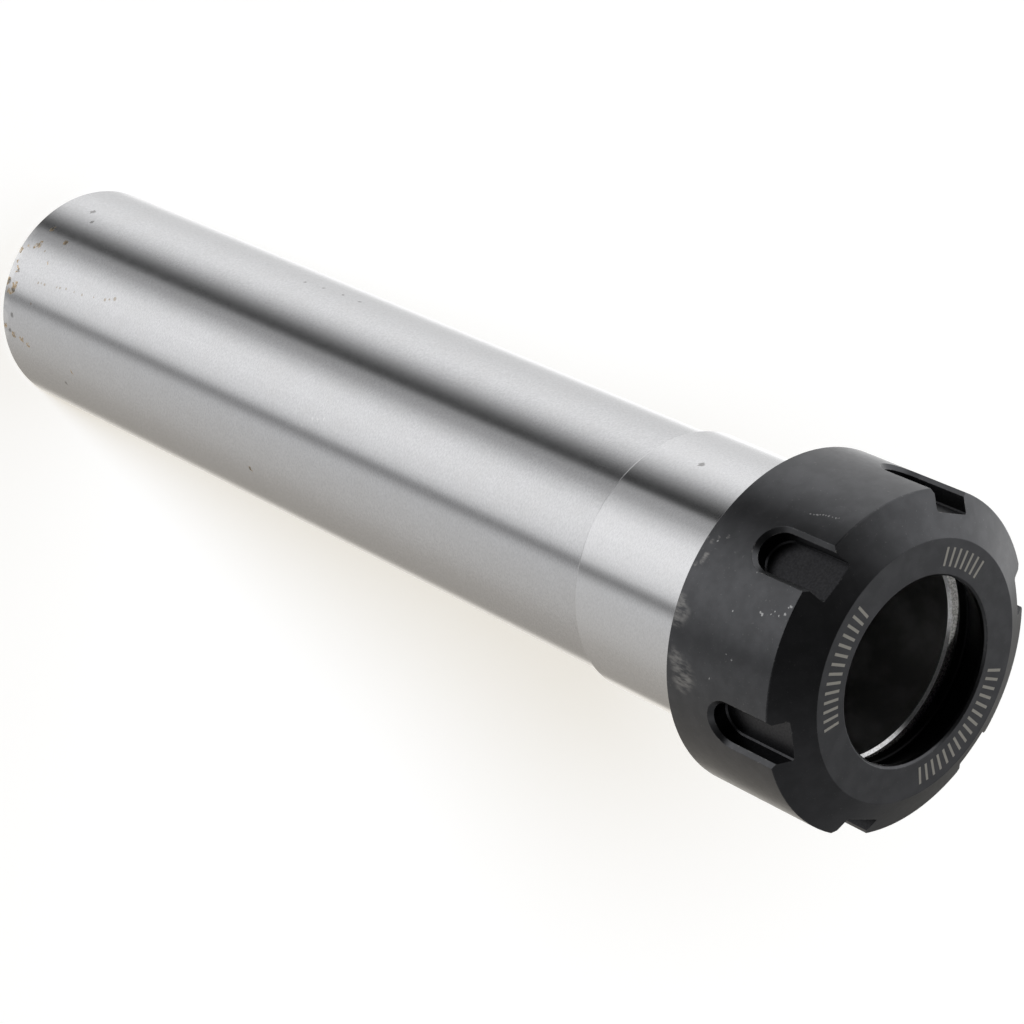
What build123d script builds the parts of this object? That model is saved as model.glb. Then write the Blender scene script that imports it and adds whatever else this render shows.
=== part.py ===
"""Straight-shank collet chuck holder with a six-slot clamping nut, in millimetres.

The chuck stands on the rear face of its shank. The origin is the centre of that
face and +Z runs along the axis, out of the nut.
"""

import os
from math import hypot, radians, sqrt, tan

from build123d import *

# Shank and neck of the holder
shank_diameter = 38.1
shank_length = 152.4
shank_end_chamfer = 0.8
neck_diameter = 40.0
neck_length = 38.8
neck_edge_chamfer = 0.3

# Clamping thread, cut on the front of the neck and in the nut
clamp_thread_diameter = 40.0
clamp_thread_pitch = 1.5
clamp_thread_lead_in = 1.0
clamp_relief_width = 2.2
clamp_relief_depth = 1.2
neck_cover = 1.2

# Taper and bores of the holder
taper_mouth_diameter = 32.0
taper_mouth_chamfer = 0.4
taper_half_angle = 8.0
taper_length = 31.0
tool_bore_diameter = 22.0
tool_bore_depth = 63.0
stop_thread_diameter = 20.0
stop_thread_pitch = 1.5
stop_thread_length = 40.0
coolant_bore_diameter = 13.0
coolant_mouth_chamfer = 1.0

# Clamping nut
nut_diameter = 50.0
nut_length = 23.2
nut_face_diameter = 38.2
nut_cone_length = 3.5
nut_rear_chamfer = 0.4
nut_aperture_diameter = 27.4
nut_aperture_land = 0.9
nut_aperture_break = 0.3
nut_seat_half_angle = 30.0
nut_seat_length = 5.0
nut_shoulder_thickness = 0.7
nut_shoulder_height = 0.85
nut_relief_width = 1.8
nut_relief_clearance = 0.25
nut_skirt_clearance = 0.2
nut_mouth_chamfer = 0.6

# Spanner slots round the front of the nut
slot_count = 6
slot_width = 6.2
slot_length = 14.4
slot_depth = 3.0
slot_edge_break = 0.65

# Extraction ring, loose in a groove of the nut behind the seat
ring_opening_diameter = 32.2
ring_wall = 2.0
ring_thickness = 1.7
ring_offset = 0.55
ring_offset_angle = 210.0
ring_edge_break = 0.2

# Stop screw in the shank
stop_screw_length = 18.0
stop_screw_chamfer = 1.0
stop_screw_front_gap = 6.0
stop_socket_width = 8.0
stop_socket_depth = 8.0
stop_coolant_hole_diameter = 6.0

# Clearances between pieces that move
thread_clearance = 0.05
ring_radial_clearance = 0.05
ring_end_clearance = 0.1
nut_stop_gap = 0.3

# A thread is drawn as a plain cylinder at its pitch diameter
thread_pitch_drop = 3 * sqrt(3) / 8
clamp_pitch_radius = (clamp_thread_diameter - thread_pitch_drop * clamp_thread_pitch) / 2
stop_pitch_radius = (stop_thread_diameter - thread_pitch_drop * stop_thread_pitch) / 2

# Heights along the axis, from the rear face of the shank
holder_front = shank_length + neck_length
taper_end = holder_front - taper_length
tool_bore_end = holder_front - tool_bore_depth
stop_thread_end = tool_bore_end - stop_thread_length
shoulder_rear = holder_front + nut_stop_gap
groove_rear = shoulder_rear + nut_shoulder_thickness
groove_front = groove_rear + ring_thickness + 2 * ring_end_clearance
seat_front = groove_front + nut_seat_length
nut_front = seat_front + nut_aperture_land
nut_rear = nut_front - nut_length
neck_end = nut_rear + neck_cover
clamp_thread_rear = neck_end + clamp_relief_width
nut_thread_rear = neck_end + clamp_relief_width / 2
nut_thread_front = shoulder_rear - nut_relief_width
stop_screw_front = tool_bore_end - stop_screw_front_gap
stop_screw_rear = stop_screw_front - stop_screw_length

# Radii that several pieces share
shank_radius = shank_diameter / 2
neck_radius = neck_diameter / 2
taper_mouth_radius = taper_mouth_diameter / 2
taper_end_radius = taper_mouth_radius - taper_length * tan(radians(taper_half_angle))
coolant_bore_radius = coolant_bore_diameter / 2
nut_radius = nut_diameter / 2
nut_aperture_radius = nut_aperture_diameter / 2
nut_seat_radius = nut_aperture_radius + nut_seat_length * tan(radians(nut_seat_half_angle))
nut_skirt_radius = neck_radius + nut_skirt_clearance
nut_thread_radius = clamp_pitch_radius + thread_clearance
nut_relief_radius = clamp_thread_diameter / 2 + nut_relief_clearance
ring_outer_radius = ring_opening_diameter / 2 + ring_wall
nut_groove_radius = ring_outer_radius + ring_radial_clearance
nut_shoulder_radius = nut_groove_radius - nut_shoulder_height

# How close an edge has to lie to be taken as the one that is looked for
tolerance = 0.01


def circles_at(part, height, radius):
    """The round edges of a turned part at one height and one radius."""
    rings = part.edges().filter_by(GeomType.CIRCLE)
    rings = rings.filter_by(lambda edge: abs(edge.center().Z - height) < tolerance)
    return rings.filter_by(lambda edge: abs(edge.radius - radius) < tolerance)


def on_nut_side(edge):
    """True for an edge that a slot leaves on the nut's round side."""
    distances = [abs(hypot(point.X, point.Y) - nut_radius) for point in (edge @ 0, edge @ 0.5, edge @ 1)]
    return edge.geom_type != GeomType.CIRCLE and max(distances) < tolerance


# One turned bar: shank, neck, relief and thread outside, taper and bores inside
with BuildPart() as holder:
    with BuildSketch(Plane.XZ):
        with BuildLine():
            Polyline(
                (coolant_bore_radius, 0),
                (shank_radius, 0),
                (shank_radius, shank_length),
                (neck_radius, shank_length),
                (neck_radius, neck_end),
                (neck_radius - clamp_relief_depth, neck_end),
                (neck_radius - clamp_relief_depth, clamp_thread_rear),
                (clamp_pitch_radius, clamp_thread_rear),
                (clamp_pitch_radius, holder_front),
                (taper_mouth_radius, holder_front),
                (taper_end_radius, taper_end),
                (tool_bore_diameter / 2, taper_end),
                (tool_bore_diameter / 2, tool_bore_end),
                (stop_pitch_radius, tool_bore_end),
                (stop_pitch_radius, stop_thread_end),
                (coolant_bore_radius, stop_thread_end),
                close=True,
            )
        make_face()
    revolve(axis=Axis.Z)
    chamfer(circles_at(holder.part, shank_length, neck_radius), length=neck_edge_chamfer)
    chamfer(circles_at(holder.part, 0, shank_radius), length=shank_end_chamfer)
    chamfer(circles_at(holder.part, 0, coolant_bore_radius), length=coolant_mouth_chamfer)
    chamfer(circles_at(holder.part, holder_front, clamp_pitch_radius), length=clamp_thread_lead_in)
    chamfer(circles_at(holder.part, holder_front, taper_mouth_radius), length=taper_mouth_chamfer)

# Nut: turned outside and inside, then slots milled in from the front with their edges eased
with BuildPart() as clamping_nut:
    with BuildSketch(Plane.YZ):
        with BuildLine():
            Polyline(
                (nut_aperture_radius, nut_front),
                (nut_face_diameter / 2, nut_front),
                (nut_radius, nut_front - nut_cone_length),
                (nut_radius, nut_rear),
                (nut_skirt_radius, nut_rear),
                (nut_skirt_radius, nut_thread_rear),
                (nut_thread_radius, nut_thread_rear),
                (nut_thread_radius, nut_thread_front),
                (nut_relief_radius, nut_thread_front),
                (nut_relief_radius, shoulder_rear),
                (nut_shoulder_radius, shoulder_rear),
                (nut_shoulder_radius, groove_rear),
                (nut_groove_radius, groove_rear),
                (nut_groove_radius, groove_front),
                (nut_seat_radius, groove_front),
                (nut_aperture_radius, seat_front),
                close=True,
            )
        make_face()
    revolve(axis=Axis.Z)
    chamfer(circles_at(clamping_nut.part, nut_rear, nut_radius), length=nut_rear_chamfer)
    chamfer(circles_at(clamping_nut.part, nut_rear, nut_skirt_radius), length=nut_mouth_chamfer)
    chamfer(circles_at(clamping_nut.part, nut_front, nut_aperture_radius), length=nut_aperture_break)

    slot_floor = nut_radius - slot_depth
    for slot in range(slot_count):
        slot_plane = Plane.YZ.rotated((0, 0, slot * 360 / slot_count)).offset(slot_floor)
        with BuildSketch(slot_plane):
            with Locations((0, nut_front)):
                SlotOverall(2 * slot_length, slot_width, rotation=90)
        extrude(amount=2 * slot_depth, mode=Mode.SUBTRACT)
        chamfer(clamping_nut.edges(Select.LAST).filter_by(on_nut_side), length=slot_edge_break)

# Ring with its opening off centre, so that one side reaches into a collet's groove
with BuildPart() as extraction_ring:
    with BuildSketch(Plane.XY.offset(groove_rear + ring_end_clearance)):
        Circle(ring_outer_radius)
        with PolarLocations(ring_offset, 1, start_angle=ring_offset_angle):
            Circle(ring_opening_diameter / 2, mode=Mode.SUBTRACT)
    extrude(amount=ring_thickness)
    chamfer(extraction_ring.edges().filter_by(GeomType.CIRCLE), length=ring_edge_break)

# Stop screw: a short threaded plug with a hexagon socket behind and a hole for coolant
with BuildPart() as stop_screw:
    with BuildSketch(Plane.XY.offset(stop_screw_rear)):
        Circle(stop_pitch_radius - thread_clearance)
    extrude(amount=stop_screw_length)
    chamfer(stop_screw.edges().filter_by(GeomType.CIRCLE), length=stop_screw_chamfer)
    with BuildSketch(Plane.XY.offset(stop_screw_rear)):
        RegularPolygon(stop_socket_width / 2, 6, major_radius=False)
    extrude(amount=stop_socket_depth, mode=Mode.SUBTRACT)
    with BuildSketch(Plane.XY.offset(stop_screw_rear)):
        Circle(stop_coolant_hole_diameter / 2)
    extrude(amount=stop_screw_length, mode=Mode.SUBTRACT)

holder.part.label = "holder"
clamping_nut.part.label = "clamping_nut"
extraction_ring.part.label = "extraction_ring"
stop_screw.part.label = "stop_screw"

os.makedirs("parts", exist_ok=True)
for piece in (holder, clamping_nut, extraction_ring, stop_screw):
    export_step(piece.part, f"parts/{piece.part.label}.step")
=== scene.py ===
from math import atan2, cos, pi, radians, sin, sqrt, tan

import bpy
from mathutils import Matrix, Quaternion, Vector


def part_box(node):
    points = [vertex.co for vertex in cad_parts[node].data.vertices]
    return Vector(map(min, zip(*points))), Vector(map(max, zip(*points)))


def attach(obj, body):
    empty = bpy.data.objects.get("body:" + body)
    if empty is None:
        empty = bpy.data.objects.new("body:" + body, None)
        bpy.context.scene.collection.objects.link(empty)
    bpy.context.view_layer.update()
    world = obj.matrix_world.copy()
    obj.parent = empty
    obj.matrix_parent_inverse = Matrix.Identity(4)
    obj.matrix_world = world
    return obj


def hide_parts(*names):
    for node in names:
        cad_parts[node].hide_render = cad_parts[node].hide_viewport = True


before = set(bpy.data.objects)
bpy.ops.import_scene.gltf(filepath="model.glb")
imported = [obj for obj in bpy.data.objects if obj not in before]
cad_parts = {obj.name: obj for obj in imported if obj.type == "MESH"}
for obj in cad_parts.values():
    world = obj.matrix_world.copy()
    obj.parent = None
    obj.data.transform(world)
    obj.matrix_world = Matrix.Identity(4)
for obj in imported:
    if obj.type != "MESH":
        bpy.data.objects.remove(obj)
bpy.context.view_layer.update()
mm = 0.001

# Holder: one bar of alloy steel. The shank is ground to size, the neck is ground a little
# thicker, and in front of it are a relief and the thread for the nut. Inside are the ground
# taper for collets, the tool bore, the stop screw's thread and the coolant bore.

holder_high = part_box("holder")[1]
neck_radius = holder_high.x / mm
holder_front = holder_high.z / mm
shank_radius = 19.05
shank_length = 152.4
shank_end_chamfer = 0.8
neck_edge_break = 0.3
neck_end = 178.0
relief_width = 2.2
relief_depth = 1.2
thread_pitch = 1.5
thread_depth = 0.812
thread_half_crest = 1 / 16
thread_flank = 5 / 16
thread_lead_in = 1.49
thread_run_out = 1.7
taper_mouth_radius = 16.0
taper_mouth_chamfer = 0.4
taper_angle = radians(8)
taper_length = 31.0
tool_bore_radius = 11.0
tool_bore_depth = 63.0
stop_thread_radius = 10.0
stop_pitch_radius = 9.513
stop_thread_length = 40.0
stop_thread_lead_in = 0.2
coolant_bore_radius = 6.5
coolant_mouth_chamfer = 1.0
edge_break = 0.12
mouth_edge_break = 0.05
turning_steps = 192
arc_step = radians(18)
thread_row = 0.1
plain_row = 6.0
shortest_thread = 5
flat_face_lean = 0.05
tolerance = 0.01
ground_finish = 0
bored_finish = 1
matt_finish = 2


def rounded(corners):
    """The outline of a turned piece from its corners (radius, height, rounding), each made an arc."""
    points = []
    for before, corner, after in zip(corners[-1:] + corners[:-1], corners, corners[1:] + corners[:1]):
        here, rounding = Vector(corner[:2]), corner[2]
        back = (Vector(before[:2]) - here).normalized()
        onward = (Vector(after[:2]) - here).normalized()
        bend = pi - back.angle(onward)
        centre = here + (back + onward).normalized() * rounding / cos(bend / 2)
        first = here + back * rounding * tan(bend / 2) - centre
        last = here + onward * rounding * tan(bend / 2) - centre
        sweep = atan2(first.cross(last), first.dot(last))
        parts = max(2, round(bend / arc_step))
        for part in range(parts + 1):
            angle = atan2(first.y, first.x) + sweep * part / parts
            points.append((centre.x + rounding * cos(angle), centre.y + rounding * sin(angle)))
    return points


def screw_thread(height, ridge_radius, root_radius, angle):
    """The radius of a right-hand thread at one height and angle round the axis."""
    from_ridge = abs((height / thread_pitch - angle / (2 * pi) + 0.5) % 1 - 0.5)
    down_flank = min(max((from_ridge - thread_half_crest) / thread_flank, 0), 1)
    return ridge_radius + (root_radius - ridge_radius) * down_flank


def rings_of(outline, thread_at, finish_at):
    """Rings (radius or rule, height, finish number) along an outline, close together on its threads."""
    rings = []
    for (radius, height), (next_radius, next_height) in zip(outline, outline[1:] + outline[:1]):
        middle = (radius + next_radius) / 2, (height + next_height) / 2
        rise = next_height - height
        rule = thread_at(*middle) if abs(rise) > shortest_thread else None
        rows = max(1, round(abs(rise) / (thread_row if rule else plain_row)))
        for row in range(rows):
            ring_radius = radius + (next_radius - radius) * row / rows
            ring_height = height + rise * row / rows
            rings.append((rule if rule and row else ring_radius, ring_height, finish_at(*middle)))
    return rings


def shade_round(mesh, milled_normal=None, milled_finishes=()):
    """Gives each corner of a face the true normal of the turned or milled surface there."""
    normals = []
    mesh.shade_smooth()
    for face in mesh.polygons:
        toward = Vector((face.center.x, face.center.y, 0)).normalized()
        outward, sideways = face.normal.dot(toward), face.normal.cross(toward).z
        for vertex in face.vertices:
            at = mesh.vertices[vertex].co
            if face.material_index in milled_finishes:
                normals.append(milled_normal(at, face.normal))
            elif abs(sideways) > flat_face_lean:
                normals.append(face.normal)
            else:
                radial = Vector((at.x, at.y, 0)).normalized()
                normals.append((radial * outward + Vector((0, 0, face.normal.z))).normalized())
    mesh.normals_split_custom_set(normals)


def turn(name, rings, materials):
    """A closed turned mesh through its rings."""
    vertices, faces, finishes = [], [], []
    for radius, height, _ in rings:
        for step in range(turning_steps):
            angle = 2 * pi * step / turning_steps
            reach = radius(height, angle) if callable(radius) else radius
            vertices.append((reach * cos(angle) * mm, reach * sin(angle) * mm, height * mm))
    for number, (_, _, finish_number) in enumerate(rings):
        lower, upper = number * turning_steps, (number + 1) % len(rings) * turning_steps
        for step in range(turning_steps):
            beside = (step + 1) % turning_steps
            faces.append((lower + step, lower + beside, upper + beside, upper + step))
            finishes.append(finish_number)
    mesh = bpy.data.meshes.new(name)
    mesh.from_pydata(vertices, [], faces)
    for material in materials:
        mesh.materials.append(material)
    mesh.polygons.foreach_set("material_index", finishes)
    shade_round(mesh)
    piece = bpy.data.objects.new(name, mesh)
    bpy.context.collection.objects.link(piece)
    return piece


def stand_for(piece, node):
    """The detailed piece takes the place of its plain solid and moves with it."""
    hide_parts(node)
    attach(piece, node)


def feed(tree, node, inputs):
    """Sets a node's inputs to values, or joins them to other nodes' outputs."""
    for socket, value in inputs.items():
        if isinstance(value, bpy.types.NodeSocket):
            tree.links.new(value, node.inputs[socket])
        else:
            node.inputs[socket].default_value = value


def add(tree, kind, inputs=None, **settings):
    """Adds a node with its settings and inputs."""
    node = tree.nodes.new("ShaderNode" + kind)
    for setting, value in settings.items():
        setattr(node, setting, value)
    feed(tree, node, inputs or {})
    return node


def calc(tree, operation, *values):
    """A sum on numbers that vary over the surface."""
    return add(tree, "Math", dict(enumerate(values)), operation=operation).outputs[0]


def vector_calc(tree, operation, *values):
    """A sum on places or directions; a distance or dot product comes out as a number."""
    outputs = add(tree, "VectorMath", dict(enumerate(values)), operation=operation).outputs
    return outputs["Value" if operation in ("DISTANCE", "DOT_PRODUCT") else "Vector"]


def fade(tree, value, start, end, highest=1.0):
    """Goes smoothly from 0 to the highest as a value goes from start to end."""
    inputs = {"Value": value, "From Min": start, "From Max": end, "To Max": highest}
    return add(tree, "MapRange", inputs, interpolation_type="SMOOTHSTEP").outputs[0]


def blend(tree, amount, first, second):
    """One colour going over into another."""
    return add(tree, "Mix", {0: amount, 6: first, 7: second}, data_type="RGBA").outputs[2]


def noise(tree, place, scale, detail=3.0):
    """Even noise, with its scale in cells per metre."""
    return add(tree, "TexNoise", {"Vector": place, "Scale": scale, "Detail": detail})


def grain(tree, place, round_scale, along_scale, detail=3.0):
    """Noise drawn out round the axis, as grinding and turning leave it."""
    stretched = add(tree, "Mapping", {"Vector": place, "Scale": (round_scale, round_scale, along_scale)})
    return noise(tree, stretched.outputs[0], 1.0, detail).outputs[0]


def steel(name, colour, roughness):
    """A new metal finish: its material, nodes, shader and the place on the piece."""
    material = bpy.data.materials.new(name)
    material.use_nodes = True
    tree = material.node_tree
    shader = tree.nodes["Principled BSDF"]
    feed(tree, shader, {"Base Color": (*colour, 1), "Metallic": 1.0, "Roughness": roughness})
    return material, tree, shader, add(tree, "TexCoord").outputs["Object"]


def spread_along_axis(tree, shader, amount):
    """Grinding and turning marks run round the axis, so highlights spread along it."""
    tangent = add(tree, "Tangent", direction_type="RADIAL", axis="Z").outputs[0]
    feed(tree, shader, {"Anisotropic": amount, "Anisotropic Rotation": 0.25, "Tangent": tangent})


def bumps(tree, shader, height, strength, depth, normal=None):
    """Relief in the surface, its depth in mm."""
    inputs = {"Height": height, "Strength": strength, "Distance": depth * mm}
    if normal:
        inputs["Normal"] = normal
    feed(tree, shader, {"Normal": add(tree, "Bump", inputs).outputs[0]})


def torn(tree, place, scale, reach):
    """The place shaken by noise, so that marks have ragged edges; reach in mm."""
    shake = vector_calc(tree, "SUBTRACT", noise(tree, place, scale).outputs["Color"], (0.5, 0.5, 0.5))
    return vector_calc(tree, "MULTIPLY_ADD", shake, (reach * mm,) * 3, place)


def spots(tree, place, radius, marks):
    """1 in each mark on a round surface and 0 outside; a mark is (degrees round, height, size)."""
    shown = None
    for turned, height, size in marks:
        centre = (radius * cos(radians(turned)) * mm, radius * sin(radians(turned)) * mm, height * mm)
        away = vector_calc(tree, "DISTANCE", place, centre)
        mark = fade(tree, away, size * mm * 0.6, size * mm * 0.2)
        shown = calc(tree, "MAXIMUM", shown, mark) if shown else mark
    return shown


# Rust, pits, small dots and bare spots on the shank and neck: degrees round, height and size
rust_marks = (
    (293.2, 5.0, 1.6), (297.5, 10.7, 1.7), (304.0, 4.9, 2.2), (305.6, 4.1, 1.6), (307.2, 2.4, 1.2),
    (310.2, 1.0, 1.6), (316.5, 1.8, 1.2), (320.8, 2.6, 1.7), (327.5, 1.2, 2.2), (328.2, 3.2, 2.4),
    (331.5, 3.0, 2.2), (332.6, 2.0, 2.2), (352.0, 1.4, 1.6), (355.4, 3.8, 2.0), (356.1, 6.3, 1.8),
    (357.4, 8.1, 1.8), (6.8, 71.9, 1.3), (310.5, 9.6, 1.0), (1.0, 21.4, 1.0),
)
pit_marks = (
    (273.2, 8.5, 1.3), (279.9, 11.4, 1.0), (293.2, 5.0, 0.9), (331.2, 3.1, 1.1), (344.5, 3.6, 1.0),
    (353.5, 2.7, 1.0), (297.5, 10.7, 0.8), (327.9, 1.4, 1.0), (11.5, 17.7, 0.9), (7.0, 71.7, 0.6),
    (258.1, 62.7, 0.7), (256.2, 66.9, 0.7), (255.2, 71.5, 0.8), (255.1, 75.9, 0.8), (321.0, 3.0, 0.8),
)
neck_pit_marks = ((272.4, 161.6, 1.2),)
dot_marks = (
    (322.4, 9.5, 0.5), (321.9, 10.4, 0.4), (322.0, 11.4, 0.6), (320.5, 14.9, 0.4), (320.1, 15.8, 0.5),
    (319.3, 17.5, 0.5), (318.9, 19.9, 0.4), (318.7, 22.2, 0.5), (317.4, 25.4, 0.4), (316.0, 28.5, 0.7),
    (314.9, 29.6, 0.5), (313.6, 30.8, 0.9), (306.0, 7.2, 0.5), (334.0, 9.0, 0.5),
)
bare_marks = (
    (300.0, 0.9, 2.6), (313.0, 0.9, 2.4), (323.5, 0.9, 3.2), (337.0, 1.0, 3.2), (347.0, 1.1, 3.0),
    (357.0, 0.9, 2.4), (326.5, 88.0, 0.7), (325.2, 89.2, 0.8), (323.9, 90.4, 0.7), (331.5, 86.0, 0.7),
)

ground_steel, tree, shader, place = steel("ground_steel", (0.612, 0.614, 0.626), 0.21)
spread_along_axis(tree, shader, 0.75)
ragged = torn(tree, place, 1300, 1.6)
crumbled = noise(tree, place, 2400, 4.0).outputs[0]
rust = calc(tree, "MULTIPLY_ADD", crumbled, 1.3, spots(tree, ragged, shank_radius, rust_marks))
rust = fade(tree, rust, 1.32, 1.95)
pits = spots(tree, torn(tree, place, 2200, 0.7), shank_radius, pit_marks)
neck_pits = spots(tree, torn(tree, place, 1200, 1.4), neck_radius, neck_pit_marks)
pits = calc(tree, "MAXIMUM", pits, neck_pits)
dots = spots(tree, torn(tree, place, 2200, 0.4), shank_radius, dot_marks)
bare = spots(tree, ragged, shank_radius, bare_marks)
height_up = add(tree, "SeparateXYZ", {0: place}).outputs["Z"]
on_neck = calc(tree, "GREATER_THAN", height_up, shank_length * mm)
speckle = grain(tree, place, 2300, 4200)
clouds = noise(tree, place, 210, 4.0).outputs[0]
tone = blend(tree, fade(tree, speckle, 0.3, 0.7), (0.572, 0.574, 0.586, 1), (0.652, 0.654, 0.666, 1))
tone = blend(tree, fade(tree, clouds, 0.35, 0.75, 0.2), tone, (0.56, 0.555, 0.55, 1))
tone = blend(tree, calc(tree, "MULTIPLY", on_neck, 0.15), tone, (0.85, 0.85, 0.86, 1))
tone = blend(tree, fade(tree, bare, 0, 1, 0.5), tone, (0.80, 0.80, 0.80, 1))
mouth_rear = holder_front - taper_mouth_chamfer - 2 * tolerance
at_mouth = calc(tree, "GREATER_THAN", height_up, mouth_rear * mm)
mouth_grit = fade(tree, noise(tree, place, 3600, 2.0).outputs[0], 0.62, 0.36, 0.6)
tone = blend(tree, calc(tree, "MULTIPLY", at_mouth, mouth_grit), tone, (0.34, 0.335, 0.32, 1))
patchy = fade(tree, noise(tree, place, 1500).outputs[0], 0.38, 0.62)
stain_colour = blend(tree, patchy, (0.80, 0.56, 0.28, 1), (0.38, 0.27, 0.13, 1))
tone = blend(tree, fade(tree, rust, 0, 0.6, 0.7), tone, stain_colour)
tone = blend(tree, fade(tree, dots, 0, 0.8, 0.5), tone, (0.30, 0.22, 0.12, 1))
tone = blend(tree, fade(tree, pits, 0, 1.0, 0.62), tone, (0.12, 0.115, 0.105, 1))
metallic = calc(tree, "SUBTRACT", 1.0, fade(tree, rust, 0.3, 1.0, 0.35))
roughness = calc(tree, "MULTIPLY_ADD", noise(tree, place, 500).outputs[0], 0.05, 0.165)
roughness = calc(tree, "MULTIPLY_ADD", on_neck, -0.035, roughness)
roughness = calc(tree, "MULTIPLY_ADD", rust, 0.3, roughness)
feed(tree, shader, {"Base Color": tone, "Metallic": metallic, "Roughness": roughness})
bumps(tree, shader, calc(tree, "MULTIPLY_ADD", pits, -4.0, speckle), 0.25, 0.003)

bored_steel, tree, shader, place = steel("bored_steel", (0.46, 0.45, 0.44), 0.34)
stains = fade(tree, noise(tree, place, 160, 4.0).outputs[0], 0.42, 0.66)
tone = blend(tree, stains, (0.40, 0.40, 0.395, 1), (0.52, 0.52, 0.52, 1))
roughness = calc(tree, "MULTIPLY_ADD", stains, 0.12, 0.33)
feed(tree, shader, {"Base Color": tone, "Roughness": roughness})
spread_along_axis(tree, shader, 0.3)
bumps(tree, shader, grain(tree, place, 200, 4000), 0.3, 0.006)

matt_steel, tree, shader, place = steel("matt_steel", (0.55, 0.54, 0.52), 0.5)
speckle = fade(tree, noise(tree, place, 3600, 2.0).outputs[0], 0.36, 0.62)
tone = blend(tree, speckle, (0.30, 0.295, 0.28, 1), (0.66, 0.65, 0.63, 1))
feed(tree, shader, {"Base Color": tone, "Metallic": 0.35})
bumps(tree, shader, speckle, 0.4, 0.015)

thread_rear = neck_end + relief_width
relief_radius = neck_radius - relief_depth
face_radius = neck_radius - thread_lead_in
taper_end = holder_front - taper_length
taper_end_radius = taper_mouth_radius - taper_length * tan(taper_angle)
tool_bore_end = holder_front - tool_bore_depth
stop_thread_end = tool_bore_end - stop_thread_length


def clamp_thread(height, angle):
    """The neck's thread, which runs out at the relief and starts from a chamfer at the front."""
    cut = screw_thread(height, neck_radius, neck_radius - thread_depth, angle)
    run_out = relief_radius + (height - thread_rear) * thread_run_out
    return min(cut, run_out, face_radius + holder_front - height)


def stop_thread(height, angle):
    """The outer half of the thread for the stop screw, so that the screw's ridges slide past it."""
    cut = screw_thread(height, stop_thread_radius, stop_pitch_radius, angle)
    return max(cut, stop_thread_radius + stop_thread_lead_in + height - tool_bore_end)


def holder_thread(radius, height):
    """The rule of the holder's thread at one place on its outline, if there is one."""
    if height > thread_rear and radius > taper_mouth_radius:
        return clamp_thread
    if stop_thread_end < height < tool_bore_end and radius < tool_bore_radius:
        return stop_thread


def holder_finish(radius, height):
    """Ground outside and on the taper's chamfer, bored inside, and matt on the front face."""
    if abs(height - holder_front) < tolerance:
        return matt_finish
    inside = coolant_mouth_chamfer / 2 < height < holder_front - taper_mouth_chamfer
    return bored_finish if inside and radius < taper_mouth_radius else ground_finish


holder_outline = rounded([
    (coolant_bore_radius + coolant_mouth_chamfer, 0, edge_break),
    (shank_radius - shank_end_chamfer, 0, edge_break),
    (shank_radius, shank_end_chamfer, edge_break),
    (shank_radius, shank_length, edge_break),
    (neck_radius, shank_length, neck_edge_break),
    (neck_radius, neck_end, edge_break),
    (relief_radius, neck_end, edge_break),
    (relief_radius, thread_rear, edge_break),
    (face_radius, holder_front, edge_break),
    (taper_mouth_radius + taper_mouth_chamfer, holder_front, mouth_edge_break),
    (taper_mouth_radius - taper_mouth_chamfer * sin(taper_angle),
     holder_front - taper_mouth_chamfer * cos(taper_angle), mouth_edge_break),
    (taper_end_radius, taper_end, edge_break),
    (tool_bore_radius, taper_end, edge_break),
    (tool_bore_radius, tool_bore_end, edge_break),
    (stop_pitch_radius, tool_bore_end, edge_break),
    (stop_pitch_radius, stop_thread_end, edge_break),
    (coolant_bore_radius, stop_thread_end, edge_break),
    (coolant_bore_radius, coolant_mouth_chamfer, edge_break),
])
holder = turn("chuck_holder", rings_of(holder_outline, holder_thread, holder_finish),
              (ground_steel, bored_steel, matt_steel))
stand_for(holder, "holder")

# Clamping nut: turned from steel, with a thread and a tapered seat inside, six spanner slots
# milled in from the front with their edges eased, and a satin black oxide finish that is
# rubbed lighter along its edges. Plain tick marks are etched on its front face.

nut_low, nut_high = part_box("clamping_nut")
nut_radius = nut_high.x / mm
nut_rear = nut_low.z / mm
nut_front = nut_high.z / mm
nut_face_radius = 19.1
nut_cone_length = 3.5
nut_rear_chamfer = 0.4
nut_mouth_chamfer = 0.6
nut_side_rounding = 0.2
aperture_radius = 13.7
aperture_break = 0.3
aperture_land = 0.9
seat_radius = 16.587
seat_rear = 194.1
groove_radius = 18.15
groove_rear = 192.2
shoulder_radius = 17.3
shoulder_rear = 191.5
nut_relief_radius = 20.25
nut_thread_front = 189.7
nut_thread_rear = 179.1
skirt_radius = 20.2
thread_play = 0.06
slot_count = 6
slot_width = 6.2
slot_length = 14.4
slot_depth = 3.0
slot_edge_break = 0.65
slot_floor_rounding = 0.22
slot_arc_parts = 21
slot_floor = nut_radius - slot_depth
slot_floor_facing = 0.95
slot_end = nut_front - slot_length
slot_end_centre = slot_end + slot_width / 2
past_the_nut = 2.0
turned_finish = 0
milled_finish = 1
eased_finish = 2
# Finish 3 is a darker oxide: painted shade inside the nut
painted_shade_finish = 3


def nut_thread(height, angle):
    """The thread in the nut: the neck's thread with some play, chamfered at both ends."""
    cut = screw_thread(height, neck_radius, neck_radius - thread_depth, angle) + thread_play
    rear_chamfer = skirt_radius - (height - nut_thread_rear)
    front_chamfer = nut_relief_radius - (nut_thread_front - height)
    return max(cut, rear_chamfer, front_chamfer)


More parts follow.
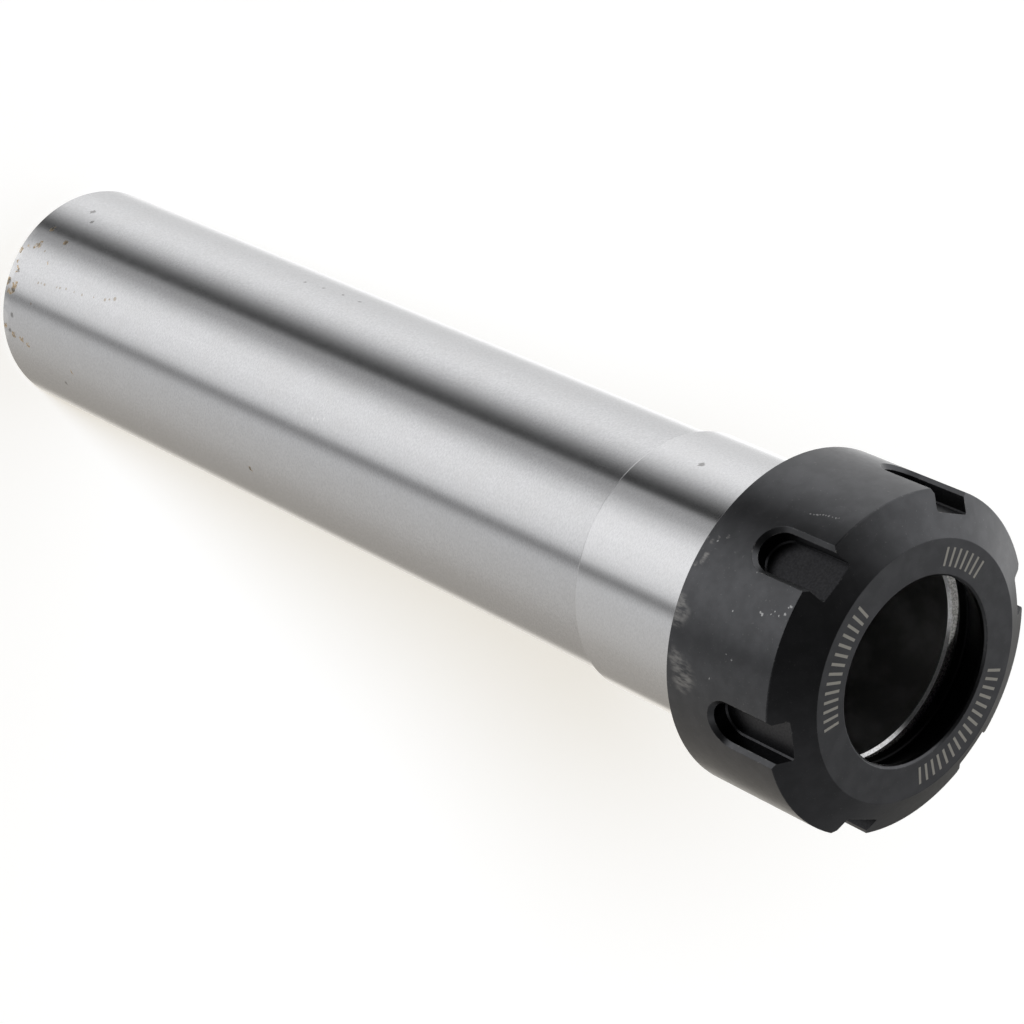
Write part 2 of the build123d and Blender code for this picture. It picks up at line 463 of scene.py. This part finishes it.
def slot_cutters():
    """The six blocks that the slots are cut with: round at the rear, and flared to ease the edges."""
    half = slot_width / 2
    path = [((half, nut_front + past_the_nut), (1, 0))]
    for part in range(slot_arc_parts + 1):
        angle = -pi * part / slot_arc_parts
        path.append(((half * cos(angle), slot_end_centre + half * sin(angle)), (cos(angle), sin(angle))))
    path.append(((-half, nut_front + past_the_nut), (-1, 0)))
    count = len(path)
    flares = (-slot_floor_rounding, 0, 0, slot_edge_break, 2 * slot_edge_break, 2 * slot_edge_break)
    last_level = len(flares) - 1
    vertices, faces, finishes = [], [], []
    for slot in range(slot_count):
        turned = 2 * pi * slot / slot_count
        first = len(vertices)
        for level, flare in enumerate(flares):
            for (across, height), (out_across, out_height) in path:
                side = across + out_across * slot_edge_break
                rim_low = sqrt(nut_radius ** 2 - across ** 2) - slot_edge_break
                rim_high = sqrt(nut_radius ** 2 - side ** 2)
                out = (slot_floor, slot_floor + slot_floor_rounding, rim_low, rim_high,
                       2 * rim_high - rim_low, nut_radius + past_the_nut)[level]
                flared = across + out_across * flare
                x = out * cos(turned) - flared * sin(turned)
                y = out * sin(turned) + flared * cos(turned)
                z = height + out_height * flare
                vertices.append((x * mm, y * mm, z * mm))
        for level in range(last_level):
            for point in range(count):
                low = first + level * count + point
                beside = first + level * count + (point + 1) % count
                faces.append((low, low + count, beside + count, beside))
                finishes.append(eased_finish if level > 1 else milled_finish)
        top = first + last_level * count
        faces.append(tuple(range(first, first + count)))
        faces.append(tuple(reversed(range(top, top + count))))
        finishes += [milled_finish, milled_finish]
    mesh = bpy.data.meshes.new("slot_cutters")
    mesh.from_pydata(vertices, [], faces)
    mesh.polygons.foreach_set("material_index", finishes)
    cutters = bpy.data.objects.new("slot_cutters", mesh)
    bpy.context.collection.objects.link(cutters)
    return cutters


def milled_normal(at, facing):
    """The normal inside a slot: flat on its floor and sides, round at its rear end."""
    turned = round(atan2(at.y, at.x) / (2 * pi / slot_count)) * 2 * pi / slot_count
    out = Vector((cos(turned), sin(turned), 0))
    across_way = Vector((-sin(turned), cos(turned), 0))
    rise = facing.dot(out)
    if rise > slot_floor_facing:
        return facing
    past_end = at.z - slot_end_centre * mm
    inward = across_way * -at.dot(across_way) - Vector((0, 0, min(past_end, 0)))
    return (out * rise + inward.normalized() * sqrt(1 - rise ** 2)).normalized()


# Rubs and nicks on the nut's side: degrees round, height and size
rub_marks = (
    (305.4, 177.0, 0.9), (305.9, 178.4, 0.9), (303.9, 178.9, 0.6), (302.5, 180.4, 0.6),
    (310.7, 178.7, 1.1), (312.5, 178.5, 1.2), (314.4, 177.6, 0.8), (309.8, 176.9, 0.7),
    (327.5, 177.7, 3.0), (330.4, 178.2, 3.6), (333.0, 177.6, 2.6), (346.2, 179.3, 3.4),
    (349.0, 180.6, 4.6), (351.6, 180.2, 3.8), (343.8, 178.4, 2.6),
)
nick_marks = (
    (319.9, 191.9, 0.5), (319.6, 191.6, 0.4), (317.0, 195.5, 0.4), (314.3, 195.9, 0.5),
    (314.8, 195.6, 0.3), (322.8, 187.0, 0.42), (346.0, 185.5, 0.3), (309.0, 188.0, 0.25),
    (319.0, 193.4, 0.25), (317.7, 193.8, 0.3), (318.3, 194.7, 0.3), (316.8, 196.6, 0.25),
    (335.9, 188.0, 0.3), (336.9, 189.1, 0.35), (305.1, 179.2, 0.25), (284.3, 189.2, 0.4),
    (284.0, 189.7, 0.35), (283.7, 190.1, 0.4), (283.3, 190.5, 0.3), (282.9, 190.9, 0.35),
    (282.7, 191.3, 0.3), (282.4, 191.8, 0.35), (282.3, 192.4, 0.25), (282.1, 193.0, 0.3),
    (281.8, 193.4, 0.25),
)
rear_speckle_width = 2.0

# Tick marks on the nut's front: the middle and half the width of each group in degrees
tick_groups = ((229.5, 15.75), (330.75, 31.5), (119.25, 36.0))
tick_spacing = radians(4.5)
tick_half_width = 0.2
tick_side_blur = (0.05, -0.03)
tick_end_blur = 0.04
tick_depth = 0.05
tick_inner_radius = 15.1
tick_outer_radius = 17.8

black_oxide, tree, shader, place = steel("black_oxide", (0.08, 0.081, 0.085), 0.31)
soft_edges = add(tree, "Bevel", {"Radius": 0.12 * mm}, samples=4).outputs[0]
wide_edges = add(tree, "Bevel", {"Radius": 0.32 * mm}, samples=6).outputs[0]
facing = add(tree, "NewGeometry").outputs["Normal"]
along = vector_calc(tree, "DOT_PRODUCT", wide_edges, facing)
mottle = noise(tree, place, 1300, 4.0).outputs[0]
fine = grain(tree, place, 300, 4500)
specks = fade(tree, noise(tree, place, 3000, 2.0).outputs[0], 0.66, 0.75)
crumbs = fade(tree, noise(tree, place, 1700, 3.0).outputs[0], 0.56, 0.66)
rubbed = calc(tree, "MULTIPLY", fade(tree, along, 0.99, 0.93), crumbs)
side_x, side_y, height_up = add(tree, "SeparateXYZ", {0: place}).outputs
near_rear = fade(tree, height_up, (nut_rear + rear_speckle_width) * mm, nut_rear * mm)
rear_speckle = calc(tree, "MULTIPLY", near_rear, specks)
rubs = spots(tree, torn(tree, place, 700, 1.2), nut_radius, rub_marks)
scuffed = fade(tree, grain(tree, place, 1500, 500), 0.36, 0.66)
rubs = calc(tree, "MULTIPLY", rubs, scuffed)
nicks = spots(tree, torn(tree, place, 2500, 0.6), nut_radius, nick_marks)

turned = calc(tree, "ARCTAN2", side_y, side_x)
radius_squared = calc(tree, "MULTIPLY_ADD", side_x, side_x, calc(tree, "MULTIPLY", side_y, side_y))
from_axis = calc(tree, "SQRT", radius_squared)
in_group = None
for middle, half in tick_groups:
    off = calc(tree, "WRAP", calc(tree, "SUBTRACT", turned, radians(middle)), pi, -pi)
    inside = calc(tree, "LESS_THAN", calc(tree, "ABSOLUTE", off), radians(half))
    in_group = calc(tree, "MAXIMUM", in_group, inside) if in_group else inside
from_tick = calc(tree, "MULTIPLY", calc(tree, "PINGPONG", turned, tick_spacing / 2), from_axis)
clear_of, well_on = (tick_half_width + blur for blur in tick_side_blur)
ticks = fade(tree, from_tick, clear_of * mm, well_on * mm)
for end, blur in ((tick_inner_radius, tick_end_blur), (tick_outer_radius, -tick_end_blur)):
    ticks = calc(tree, "MULTIPLY", ticks, fade(tree, from_axis, (end - blur) * mm, (end + blur) * mm))
ticks = calc(tree, "MULTIPLY", ticks, in_group)
on_front = calc(tree, "GREATER_THAN", height_up, (nut_front - tick_depth) * mm)
ticks = calc(tree, "MULTIPLY", ticks, on_front)

worn = calc(tree, "MAXIMUM", calc(tree, "MAXIMUM", rubbed, rubs), calc(tree, "MULTIPLY", specks, 0.22))
worn = calc(tree, "MAXIMUM", worn, calc(tree, "MULTIPLY", rear_speckle, 0.8))
smudges = fade(tree, noise(tree, place, 380, 4.0).outputs[0], 0.35, 0.68)
tone = blend(tree, smudges, (0.075, 0.076, 0.080, 1), (0.089, 0.090, 0.095, 1))
tone = blend(tree, worn, tone, (0.26, 0.255, 0.25, 1))
tone = blend(tree, fade(tree, nicks, 0, 1, 0.6), tone, (0.50, 0.50, 0.50, 1))
tone = blend(tree, ticks, tone, (0.54, 0.52, 0.47, 1))
metallic = calc(tree, "SUBTRACT", 1.0, calc(tree, "MULTIPLY", ticks, 0.6))
roughness = calc(tree, "MULTIPLY_ADD", mottle, 0.12, 0.25)
roughness = calc(tree, "MULTIPLY_ADD", worn, 0.12, roughness)
roughness = calc(tree, "MULTIPLY_ADD", ticks, 0.35, roughness)
feed(tree, shader, {"Base Color": tone, "Metallic": metallic, "Roughness": roughness})
bumps(tree, shader, calc(tree, "MULTIPLY_ADD", mottle, 0.8, fine), 0.3, 0.01, soft_edges)

milled_oxide, tree, shader, place = steel("milled_oxide", (0.05, 0.05, 0.053), 0.34)
mottle = noise(tree, place, 3000, 4.0).outputs[0]
tone = blend(tree, fade(tree, mottle, 0.3, 0.7), (0.043, 0.043, 0.046, 1), (0.062, 0.062, 0.066, 1))
feed(tree, shader, {"Base Color": tone})
bumps(tree, shader, mottle, 0.2, 0.004)

# The nut's inside and the extraction ring: black oxide drawn much darker, as painted shade where little
# light reaches
oxide_with_painted_shade, tree, shader, place = steel("oxide_with_painted_shade", (0.02, 0.02, 0.021), 0.55)
bumps(tree, shader, grain(tree, place, 300, 4000), 0.3, 0.008)

nut_outline = rounded([
    (nut_radius - nut_rear_chamfer, nut_rear, edge_break),
    (nut_radius, nut_rear + nut_rear_chamfer, edge_break),
    (nut_radius, nut_front - nut_cone_length, nut_side_rounding),
    (nut_face_radius, nut_front, nut_side_rounding),
    (aperture_radius + aperture_break, nut_front, edge_break),
    (aperture_radius, nut_front - aperture_break, edge_break),
    (aperture_radius, nut_front - aperture_land, edge_break),
    (seat_radius, seat_rear, edge_break),
    (groove_radius, seat_rear, edge_break),
    (groove_radius, groove_rear, edge_break),
    (shoulder_radius, groove_rear, edge_break),
    (shoulder_radius, shoulder_rear, edge_break),
    (nut_relief_radius, shoulder_rear, edge_break),
    (nut_relief_radius, nut_thread_front, edge_break),
    (neck_radius - thread_depth, nut_thread_front, edge_break),
    (neck_radius - thread_depth, nut_thread_rear, edge_break),
    (skirt_radius, nut_thread_rear, edge_break),
    (skirt_radius, nut_rear + nut_mouth_chamfer, edge_break),
    (skirt_radius + nut_mouth_chamfer, nut_rear, edge_break),
])


def nut_thread_at(radius, height):
    """The rule of the nut's thread at one place on its outline, if there is one."""
    if nut_thread_rear < height < nut_thread_front and radius < nut_relief_radius:
        return nut_thread


def nut_finish(radius, height):
    """The inside of the nut gets a darker oxide than the outside, as painted shade."""
    behind_aperture = radius < seat_radius and height < nut_front - aperture_land
    behind_slots = radius < nut_relief_radius and height < slot_end
    return painted_shade_finish if behind_aperture or behind_slots else turned_finish


nut = turn("slotted_nut", rings_of(nut_outline, nut_thread_at, nut_finish),
           (black_oxide, milled_oxide, black_oxide, oxide_with_painted_shade))
cutters = slot_cutters()
milling = nut.modifiers.new("spanner slots", "BOOLEAN")
milling.object = cutters
milling.operation = "DIFFERENCE"
milling.solver = "EXACT"
milling.material_mode = "INDEX"
milled = bpy.data.meshes.new_from_object(nut.evaluated_get(bpy.context.evaluated_depsgraph_get()))
nut.modifiers.remove(milling)
shade_round(milled, milled_normal, (milled_finish, eased_finish))
nut.data = milled
bpy.data.objects.remove(cutters)
stand_for(nut, "clamping_nut")

# Extraction ring: a thin ring turned from steel and blackened, loose in the nut's groove. Its colour
# is drawn darker than the blackened steel, as painted shade inside the nut. Its opening is off
# centre, so that one side reaches into a collet's groove and draws the collet out with the nut.

ring_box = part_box("extraction_ring")
ring_low = ring_box[0].z / mm
ring_high = ring_box[1].z / mm
ring_radius = ring_box[1].x / mm
ring_opening_radius = 16.1
ring_offset = 0.55
ring_offset_angle = radians(210)
ring_edge_break = 0.2


def ring_opening(height, angle):
    """The off-centre opening, wider at its two eased edges."""
    away = angle - ring_offset_angle
    eased_radius = ring_opening_radius + max(ring_edge_break - min(height - ring_low, ring_high - height), 0)
    return ring_offset * cos(away) + sqrt(eased_radius ** 2 - (ring_offset * sin(away)) ** 2)


ring_rings = [
    (ring_opening, ring_low, turned_finish),
    (ring_radius - ring_edge_break, ring_low, turned_finish),
    (ring_radius, ring_low + ring_edge_break, turned_finish),
    (ring_radius, ring_high - ring_edge_break, turned_finish),
    (ring_radius - ring_edge_break, ring_high, turned_finish),
    (ring_opening, ring_high, turned_finish),
    (ring_opening, ring_high - ring_edge_break, turned_finish),
    (ring_opening, ring_low + ring_edge_break, turned_finish),
]
# The ring's colour is the darker oxide of the nut's inside: painted shade
ring = turn("draw_ring", ring_rings, (oxide_with_painted_shade,))
stand_for(ring, "extraction_ring")

# Stop screw: a short black steel plug, screwed into the thread deep in the shank, that a tool
# is set against. It has a hexagon socket behind for its key and a hole through it for coolant,
# and its ridges are half as high as real ones, so that they slide past the shank's.

screw_low, screw_high = (corner.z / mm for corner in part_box("stop_screw"))
screw_end_radius = 8.46
screw_chamfer = 1.0
socket_half_width = 4.0
socket_depth = 8.0
coolant_hole_radius = 3.0


def screw_outside(height, angle):
    """The inner half of the plug's thread, chamfered at both ends."""
    cut = screw_thread(height, stop_pitch_radius, stop_thread_radius - thread_depth, angle) - thread_play
    inward = max(screw_chamfer - min(height - screw_low, screw_high - height), 0)
    return min(cut, screw_end_radius + screw_chamfer - inward)


def socket_side(height, angle):
    """The flat sides of the hexagon socket."""
    return socket_half_width / cos(angle % (pi / 3) - pi / 6)


screw_rings = [
    (socket_side, screw_low, turned_finish),
    (screw_end_radius, screw_low, turned_finish),
]
screw_length = screw_high - screw_low
screw_rows = round(screw_length / thread_row)
for row in range(1, screw_rows):
    screw_rings.append((screw_outside, screw_low + screw_length * row / screw_rows, turned_finish))
screw_rings += [
    (screw_end_radius, screw_high, turned_finish),
    (coolant_hole_radius, screw_high, turned_finish),
    (coolant_hole_radius, screw_low + socket_depth, turned_finish),
    (socket_side, screw_low + socket_depth, turned_finish),
]
screw = turn("stop_plug", screw_rings, (black_oxide,))
stand_for(screw, "stop_screw")

# Studio: a white paper floor with a soft lamp for its shadow, a narrow spot that slants onto the
# holder's front face, and walls of soft panels under a dark ceiling, with gaps between them that
# the steel shows as bands.

bpy.ops.mesh.primitive_plane_add(size=8)
floor = bpy.context.object
floor.name = "floor"
floor.visible_glossy = False
paper = bpy.data.materials.new("floor_paper")
paper.use_nodes = True
tree = paper.node_tree
tree.nodes.clear()
matt = add(tree, "BsdfDiffuse", {"Color": (0.80, 0.79, 0.77, 1)})
seen_matt = add(tree, "BsdfDiffuse", {"Color": (0.51, 0.59, 0.735, 1)})
seen_glow = add(tree, "Emission", {"Color": (0.54, 0.465, 0.325, 1)})
seen = add(tree, "AddShader", {0: seen_matt.outputs[0], 1: seen_glow.outputs[0]})
camera_sees = add(tree, "LightPath").outputs["Is Camera Ray"]
look = add(tree, "MixShader", {0: camera_sees, 1: matt.outputs[0], 2: seen.outputs[0]})
add(tree, "OutputMaterial", {"Surface": look.outputs[0]})
floor.data.materials.append(paper)

# The walls low down and high up: degrees round the part, brightness and warmth
low_panels = (
    (-180, 0.86, 0), (-164, 0.93, 0), (-150, 1.06, 0), (-134, 1.14, 0), (-124, 0.98, 0), (-116, 0.76, 0),
    (-108, 0.42, 0), (-100, 0.16, 0), (-94, 0.05, 0), (-89, 0.05, 0), (-85, 0.44, 0), (-76, 0.50, 0),
    (-66, 0.86, 0), (-56, 1.13, 0), (-41, 1.17, 0), (-22, 1.02, 0), (-14, 0.80, 0), (-10, 0.44, 0),
    (-6, 0.22, 0), (-2, 0.44, 0), (4, 0.71, 0), (40, 0.63, 0.4), (64, 0.51, 0.8), (95, 0.42, 1),
    (105, 0.40, 1), (113, 1.02, 0.9), (128, 1.10, 0.7), (148, 1.55, 0), (158, 1.45, 0), (164, 1.05, 0),
    (172, 0.87, 0), (180, 0.86, 0),
)
high_panels = (
    (-180, 1.15, 0), (-160, 1.20, 0), (-122, 1.20, 0), (-110, 0.35, 0), (-102, 0.015, 0), (-30, 0.015, 0),
    (0, 0.20, 0), (30, 0.25, 0), (104, 0.24, 0), (120, 0.36, 0), (136, 0.43, 0), (146, 0.85, 0),
    (156, 1.20, 0), (170, 1.20, 0), (180, 1.15, 0),
)
warm_losses = (0.055, 0.14)


def direction(azimuth, elevation):
    """The way that points so many degrees round the part and so many degrees up."""
    turned, raised = radians(azimuth), radians(elevation)
    return Vector((cos(turned) * cos(raised), sin(turned) * cos(raised), sin(raised)))


def walls(tree, compass, panels):
    """The brightness of the walls all the way round."""
    ramp = add(tree, "ValToRGB", {0: compass})
    ramp.color_ramp.interpolation = "LINEAR"
    elements = ramp.color_ramp.elements
    elements.remove(elements[1])
    for number, (turned, level, warmth) in enumerate(panels):
        share = (turned + 180) / 360
        element = elements.new(share) if number else elements[0]
        element.position = share
        green, blue = (level * (1 - loss * warmth) for loss in warm_losses)
        element.color = (level, green, blue, 1)
    return ramp.outputs[0]


world = bpy.data.worlds.new("studio")
bpy.context.scene.world = world
world.use_nodes = True
tree = world.node_tree
tree.nodes.clear()
sky = add(tree, "TexCoord").outputs["Generated"]
sky_x, sky_y, sky_z = add(tree, "SeparateXYZ", {0: sky}).outputs
compass = calc(tree, "MULTIPLY_ADD", calc(tree, "ARCTAN2", sky_y, sky_x), 1 / (2 * pi), 0.5)
high_up = fade(tree, sky_z, -0.50, -0.10)
ceiling = fade(tree, sky_z, 0.62, 0.93)
room = blend(tree, high_up, walls(tree, compass, low_panels), walls(tree, compass, high_panels))
room = blend(tree, ceiling, room, (0.07, 0.07, 0.07, 1))

# A dark patch low on the far side, and a pale one where the spot stands
dark_way = direction(130, -12)
spot_way = direction(32, 40)
dark_patch = fade(tree, vector_calc(tree, "DOT_PRODUCT", sky, dark_way), 0.90, 0.98)
pale_patch = fade(tree, vector_calc(tree, "DOT_PRODUCT", sky, spot_way), 0.94, 0.99)
room = blend(tree, dark_patch, room, (0.2, 0.195, 0.185, 1))
room = blend(tree, pale_patch, room, (0.46, 0.46, 0.46, 1))
room = blend(tree, add(tree, "LightPath").outputs["Is Camera Ray"], room, (1, 1, 1, 1))
backdrop = add(tree, "Background", {"Color": room, "Strength": 1.0})
add(tree, "OutputWorld", {"Surface": backdrop.outputs[0]})


def lamp(name, kind, power, way, lit):
    """A lamp that shines from one direction on one object alone, and isn't mirrored in the steel."""
    light = bpy.data.objects.new(name, bpy.data.lights.new(name, kind))
    light.data.energy = power
    light.rotation_euler = way.to_track_quat("Z", "Y").to_euler()
    light.visible_glossy = False
    bpy.context.collection.objects.link(light)
    receivers = bpy.data.collections.new("lit_by_" + name)
    receivers.objects.link(lit)
    light.light_linking.receiver_collection = receivers
    return light


key = lamp("soft_key", "SUN", 2.7, direction(-50, 45), floor)
key.data.angle = radians(20)

spot_distance = 0.5
spot = lamp("slanting_spot", "SPOT", 46, spot_way, holder)
spot.location = Vector((0, 0, holder_front * mm)) + spot_way * spot_distance
spot.data.spot_size = radians(5)
spot.data.spot_blend = 0.3
spot.data.shadow_soft_size = 0.05

camera_data = bpy.data.cameras.new("camera")
camera_data.lens = 117.631
camera_data.sensor_width = 36
camera = bpy.data.objects.new("camera", camera_data)
bpy.context.collection.objects.link(camera)
camera.location = (0.26333, -0.25078, 0.476)
looking = direction(135.848, -44.600)
roll = Quaternion((0, 0, 1), radians(114.9785))
camera.rotation_mode = "QUATERNION"
camera.rotation_quaternion = looking.to_track_quat("-Z", "Y") @ roll
bpy.context.scene.camera = camera
bpy.context.scene.view_settings.view_transform = "Standard"
